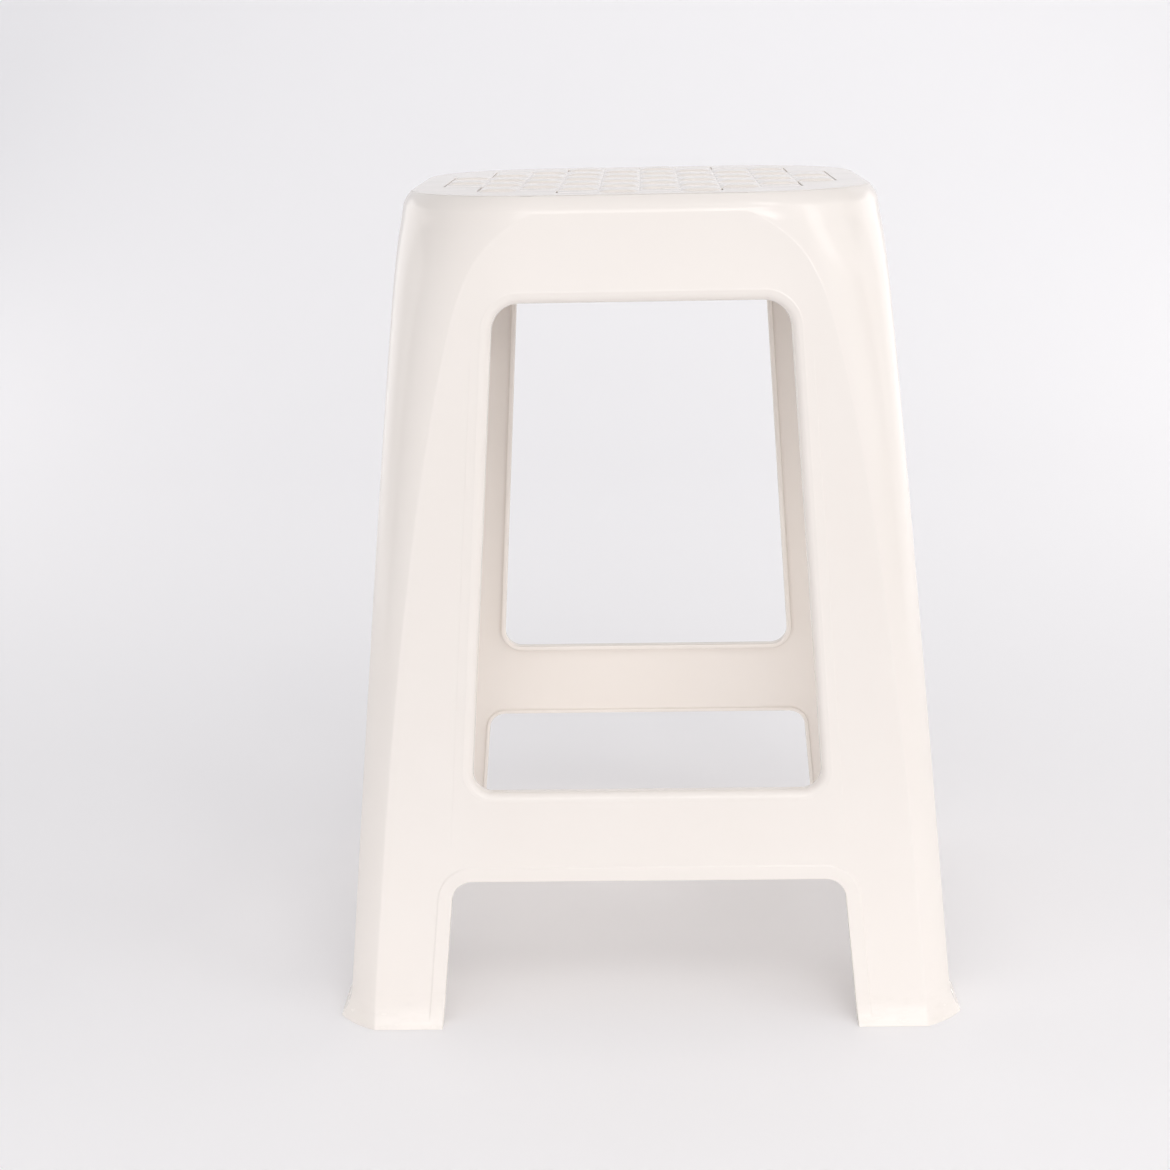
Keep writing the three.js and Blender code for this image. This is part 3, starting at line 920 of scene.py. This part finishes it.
def basketWeaveTree():
    tree, given = geometryTree("basketWeave", weaveRelief)
    place = addNode(tree, "GeometryNodeInputPosition").outputs[0]
    axes = addNode(tree, "ShaderNodeSeparateXYZ", {0: place}).outputs
    values = {name: given[name] for name in weaveRelief}
    values.update(x=axes["X"], y=axes["Y"])

    # Each line is a Math node: its name, what it does, and its terms by name or as numbers. The first
    # ones are alike along a strand and across it: the tile's points crowd towards its edges, where
    # the strand turns down.
    steps = [("half width", "DIVIDE", "Strand Width", 2.0)]
    for way, axis, power in (("run", "x", "Run Power"), ("cross", "y", "Cross Power")):
        steps += [
            (way + " step", "DIVIDE", axis, "half width"),
            (way + " square", "MULTIPLY", way + " step", way + " step"),
            (way + " ease", "MULTIPLY_ADD", way + " square", -0.5, 1.5),
            (way + " share", "MULTIPLY", way + " step", way + " ease"),
            (way + " place", "MULTIPLY", way + " share", "half width"),
            (way + " reach", "ABSOLUTE", way + " share"),
            (way + " dip", "POWER", way + " reach", power),
            (way + " rise", "SUBTRACT", 1.0, way + " dip"),
        ]
    steps += [
        ("pillow", "MULTIPLY", "run rise", "cross rise"),
        ("relief", "SUBTRACT", "Crest", "Valley"),
        ("height", "MULTIPLY", "pillow", "relief"),
        ("tile vertices", "ADD", "Tile Steps", 1.0),
        ("last cell", "SUBTRACT", "Strands", 1.0),
        ("field", "MULTIPLY", "last cell", "Strand Width"),
        ("left", "ABSOLUTE", "x"),
        ("front", "ABSOLUTE", "y"),
        ("far reach", "MAXIMUM", "left", "front"),
        ("near reach", "MINIMUM", "left", "front"),
        ("field half", "MULTIPLY", "Strands", "half width"),
        ("block half", "SUBTRACT", "field half", "Strand Width"),
        ("in block", "LESS_THAN", "far reach", "block half"),
        ("short half", "MULTIPLY", "Short Row", "half width"),
        ("in row", "LESS_THAN", "near reach", "short half"),
        ("in field", "MAXIMUM", "in block", "in row"),
        ("sum", "ADD", "x", "y"),
        ("cell sum", "DIVIDE", "sum", "Strand Width"),
        ("cell count", "ROUND", "cell sum"),
        ("next count", "ADD", "cell count", 1.0),
        ("turned", "PINGPONG", "next count", 1.0),
        ("quarter", "MULTIPLY", "turned", math.pi / 2),
        ("deep relief", "SUBTRACT", "Deep Crest", "Valley"),
        ("deep share", "DIVIDE", "deep relief", "relief"),
        ("less deep", "SUBTRACT", "deep share", 1.0),
        ("height share", "MULTIPLY_ADD", "turned", "less deep", 1.0),
        ("drop", "MULTIPLY", "Valley", -1.0),
        ("valley level", "ADD", "Plate Level", "Valley"),
    ]
    for name, operation, *terms in steps:
        sockets = {i: values.get(term, term) for i, term in enumerate(terms)}
        values[name] = addNode(tree, "ShaderNodeMath", sockets, operation=operation).outputs[0]

    # each of these joins three terms into a place, a turn or a scale
    for name, *terms in (
        ("strand point", "run place", "cross place", "height"),
        ("cell turn", 0.0, 0.0, "quarter"),
        ("cell scale", 1.0, 1.0, "height share"),
        ("down", 0.0, 0.0, "drop"),
        ("underside point", "x", "y", "drop"),
        ("lift", 0.0, 0.0, "valley level"),
    ):
        sockets = {i: values.get(term, term) for i, term in enumerate(terms)}
        values[name] = addNode(tree, "ShaderNodeCombineXYZ", sockets).outputs[0]

    # one over-lying strand, and a copy of it on each cell of the field
    tile = addNode(tree, "GeometryNodeMeshGrid", {
        "Size X": values["Strand Width"], "Size Y": values["Strand Width"],
        "Vertices X": values["tile vertices"], "Vertices Y": values["tile vertices"],
    }).outputs["Mesh"]
    tile = addNode(
        tree, "GeometryNodeSetPosition", {"Geometry": tile, "Position": values["strand point"]},
    ).outputs[0]
    cells = addNode(tree, "GeometryNodeMeshGrid", {
        "Size X": values["field"], "Size Y": values["field"],
        "Vertices X": values["Strands"], "Vertices Y": values["Strands"],
    }).outputs["Mesh"]
    woven = addNode(tree, "GeometryNodeInstanceOnPoints", {
        "Points": cells, "Selection": values["in field"], "Instance": tile,
        "Rotation": values["cell turn"], "Scale": values["cell scale"],
    }).outputs[0]
    woven = addNode(tree, "GeometryNodeRealizeInstances", {"Geometry": woven}).outputs[0]
    woven = addNode(
        tree, "GeometryNodeMergeByDistance", {"Geometry": woven, "Distance": values["Weld"]},
    ).outputs[0]

    # the rim, where an edge has one face, drops to the plate, and a flat copy closes the underside
    neighbours = addNode(tree, "GeometryNodeInputMeshEdgeNeighbors").outputs[0]
    rim = addNode(tree, "FunctionNodeCompare", {2: neighbours, 3: 1}, data_type="INT", operation="EQUAL")
    sides = addNode(tree, "GeometryNodeExtrudeMesh", {
        "Mesh": woven, "Selection": rim.outputs[0], "Offset": values["down"], "Offset Scale": 1.0,
    }, mode="EDGES").outputs["Mesh"]
    under = addNode(
        tree, "GeometryNodeSetPosition", {"Geometry": woven, "Position": values["underside point"]},
    ).outputs[0]
    under = addNode(tree, "GeometryNodeFlipFaces", {"Mesh": under}).outputs[0]
    both = addNode(tree, "GeometryNodeJoinGeometry")
    for part in (sides, under):
        tree.links.new(part, both.inputs[0])
    closed = addNode(
        tree, "GeometryNodeMergeByDistance", {"Geometry": both.outputs[0], "Distance": values["Weld"]},
    ).outputs[0]
    closed = addNode(
        tree, "GeometryNodeSetPosition", {"Geometry": closed, "Offset": values["lift"]},
    ).outputs[0]
    closed = addNode(tree, "GeometryNodeSetShadeSmooth", {"Geometry": closed}).outputs[0]
    addEnding(tree, closed, given)
    return tree


wovenSeat = grown(
    "wovenSeat", bpy.data.meshes.new("wovenField"), basketWeaveTree(),
    {**weaveRelief, "Material": polypropylene},
)


# Ribs under the seat: a rounded bar swept along the line that the frame gives for each one
ribBar = {
    "Thickness": 2.4 * mm,
    "Depth": 20.0 * mm,
    "Edge Radius": 0.8 * mm,
    "Edge Steps": 4,
}
ribNodes = sorted(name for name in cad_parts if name.startswith("rib_"))


def ribLines():
    # one edge along the middle of each rib of the frame
    points, edges = [], []
    for name in ribNodes:
        low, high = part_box(name)
        middle, half = (low + high) / 2, (high - low) / 2
        reach = Vector((half.x, 0, 0)) if half.x > half.y else Vector((0, half.y, 0))
        edges.append((len(points), len(points) + 1))
        points += [middle - reach, middle + reach]
    mesh = bpy.data.meshes.new("ribLines")
    mesh.from_pydata(points, edges, [])
    return mesh


def ribTree():
    tree, given = geometryTree("ribSweep", ribBar)
    lines = addNode(tree, "GeometryNodeMeshToCurve", {"Mesh": given["Geometry"]}).outputs[0]
    lines = addNode(tree, "GeometryNodeSetCurveNormal", {0: lines}, mode="Z_UP").outputs[0]
    outline = addNode(
        tree, "GeometryNodeCurvePrimitiveQuadrilateral",
        {"Width": given["Thickness"], "Height": given["Depth"]},
    ).outputs[0]
    outline = addNode(
        tree, "GeometryNodeFilletCurve",
        {"Curve": outline, "Radius": given["Edge Radius"], "Count": given["Edge Steps"]}, mode="POLY",
    ).outputs[0]
    bars = addNode(
        tree, "GeometryNodeCurveToMesh", {"Curve": lines, "Profile Curve": outline, "Fill Caps": True},
    ).outputs[0]
    addEnding(tree, bars, given)
    return tree


underRibs = grown("underRibs", ribLines(), ribTree(), {**ribBar, "Material": polypropylene})

# Which nodes of the frame each piece stands for
shellNodes = sorted(set(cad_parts) - set(ribNodes) - {"seat_weave"})
for piece, nodes in ((mouldedShell, shellNodes), (wovenSeat, ["seat_weave"]), (underRibs, ribNodes)):
    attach(piece, "root")
    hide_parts(*nodes)
print("pieces stand for", len(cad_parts), "nodes")


# Where the photograph was taken from: straight in front, a little above the seat, with a long lens
camera = {
    "place": (2.49, -1321.76, 531.88),      # in millimetres
    "turn": -1.685,             # degrees to the right of straight ahead, and down from level
    "down": 13.654,
    "roll": -1.129,
    "focalShare": 1.9159,       # focal length as a share of the picture's width
    "sensor": 36.0,
}


def placeCamera():
    data = bpy.data.cameras.new("camera")
    data.sensor_width = camera["sensor"]
    data.lens = camera["sensor"] * camera["focalShare"]
    turn, down, roll = (math.radians(camera[key]) for key in ("turn", "down", "roll"))
    ahead = Vector((math.sin(turn) * math.cos(down), math.cos(turn) * math.cos(down), -math.sin(down)))
    right = Vector((math.cos(turn), -math.sin(turn), 0))
    up = right.cross(ahead)
    rolled = right * math.cos(roll) + up * math.sin(roll)
    axes = Matrix((rolled, rolled.cross(ahead), -ahead)).transposed()
    holder = addObject("camera", data)
    holder.matrix_world = Matrix.Translation(Vector(camera["place"]) * mm) @ axes.to_4x4()
    bpy.context.scene.camera = holder


placeCamera()

# A pale studio: a white paper sweep, white light from above and in front, soft boxes all round, and
# lamps on the paper behind the stool and beside it
sweep = {
    "half": 6.0,                # metres from the middle to each side
    "near": -6.0,
    "bend": 1.5,                # where the paper starts to curve up behind the stool
    "radius": 1.6,
    "high": 3.4,
    "steps": 32,
    "paper": "FBFAFB",          # matt white paper: a soft floor with hardly any shine
    "roughness": 0.7,
}
studio = {
    "sky": "FCFCFF",
    "skyAbove": 0.54,           # how bright the room is overhead and in front
    "skyFront": 0.845,
    "skySeen": 0.9,             # how bright the room is where no paper hangs
    "boxColour": "FFFCF9",
    # where each lamp stands, what it faces, its width and height, all in metres, and its watts
    "lamps": {
        "keySoftbox": ((1.81, -1.41, 0.93), (0, 0, 0.23), 1.3, 1.0, 2.3),
        "highSoftbox": ((0.5, -1.6, 1.7), (0, 0, 0.1), 0.6, 0.6, 3.1),
        "cornerSoftbox": ((1.6, -1.2, 1.5), (0, 0, 0.1), 0.6, 0.6, 2.4),
        "frontSoftbox": ((0.41, -2.88, 1.02), (0, 0, 0.23), 2.0, 0.22, 8.1),
        "rightSoftbox": ((1.9, 0.9, 0.6), (0, 0, 0.2), 2.4, 1.2, 9.2),
        "leftSoftbox": ((-1.9, 0.9, 0.6), (0, 0, 0.2), 2.4, 1.2, 8.9),
        "backSoftbox": ((0.1, 1.1, 1.5), (0, 0, 0.2), 0.9, 0.5, 1.0),
        "paperLamp": ((1.2, 0.9, 1.8), (1.6, 3.1, 0.8), 0.8, 0.8, 5.6),
        "floorLamp": ((1.6, -0.3, 1.2), (1.0, 0.2, 0), 0.8, 0.8, 1.5),
        "floorStrip": ((0.15, -0.7, 0.38), (0.15, -0.3, 0), 1.4, 0.08, 0.12),
        "railGlow": ((0, -0.135, 0.107), (0, 0.15, 0.112), 0.2, 0.04, 0.026),
    },
    # the angle, in degrees, of the beams of the two lamps close by, which aren't seen themselves. The
    # second stands for the light that comes in through the thin front rail.
    "beams": {"floorStrip": 45.0, "railGlow": 75.0},
}


def hangSweep():
    bend, radius = sweep["bend"], sweep["radius"]
    line = [(sweep["near"], 0)]
    for turn in spread(0, math.pi / 2, sweep["steps"]):
        line.append((bend + radius * math.sin(turn), radius * (1 - math.cos(turn))))
    line.append((bend + radius, sweep["high"]))
    points = [(x, y, z) for y, z in line for x in (-sweep["half"], sweep["half"])]
    faces = [(2 * i, 2 * i + 1, 2 * i + 3, 2 * i + 2) for i in range(len(line) - 1)]
    mesh = bpy.data.meshes.new("paperSweep")
    mesh.from_pydata(points, [], faces)
    for face in mesh.polygons:
        face.use_smooth = True
    paper = emptyMaterial("paperSweep")
    sockets = {"Base Color": hexColour(sweep["paper"]), "Roughness": sweep["roughness"]}
    addSurface(paper.node_tree, sockets)
    mesh.materials.append(paper)
    addObject("paperSweep", mesh)


def hangLights():
    for name, (place, aim, wide, tall, power) in studio["lamps"].items():
        data = bpy.data.lights.new(name, "AREA")
        data.shape = "RECTANGLE"
        data.size, data.size_y, data.energy = wide, tall, power
        data.color = hexColour(studio["boxColour"])[:3]
        lamp = addObject(name, data)
        lamp.location = place
        lamp.rotation_euler = (Vector(place) - Vector(aim)).to_track_quat("Z", "Y").to_euler()
        if name in studio["beams"]:
            lamp.visible_camera = False
            data.spread = math.radians(studio["beams"][name])


def lightRoom():
    # a sky that grows brighter upwards and towards the front, and looks evenly pale where it is seen
    world = bpy.data.worlds.new("studio")
    bpy.context.scene.world = world
    world.use_nodes = True
    tree = world.node_tree
    tree.nodes.clear()
    toward = addNode(tree, "ShaderNodeTexCoord").outputs["Generated"]
    axes = addNode(tree, "ShaderNodeSeparateXYZ", {0: toward}).outputs
    strength = 0.0
    for axis, gain in (("Z", studio["skyAbove"]), ("Y", -studio["skyFront"])):
        share = axes[axis]
        for operation, term in (("MULTIPLY", gain), ("MAXIMUM", 0.0), ("ADD", strength)):
            share = addNode(tree, "ShaderNodeMath", {0: share, 1: term}, operation=operation).outputs[0]
        strength = share
    colour = hexColour(studio["sky"])
    light = addNode(tree, "ShaderNodeBackground", {"Color": colour, "Strength": strength})
    seen = addNode(tree, "ShaderNodeBackground", {"Color": colour, "Strength": studio["skySeen"]})
    ray = addNode(tree, "ShaderNodeLightPath").outputs["Is Camera Ray"]
    room = addNode(tree, "ShaderNodeMixShader", {0: ray, 1: light.outputs[0], 2: seen.outputs[0]})
    addNode(tree, "ShaderNodeOutputWorld", {"Surface": room.outputs[0]})


hangSweep()
hangLights()
lightRoom()
bpy.context.scene.view_settings.view_transform = "Standard"
print("studio ready")
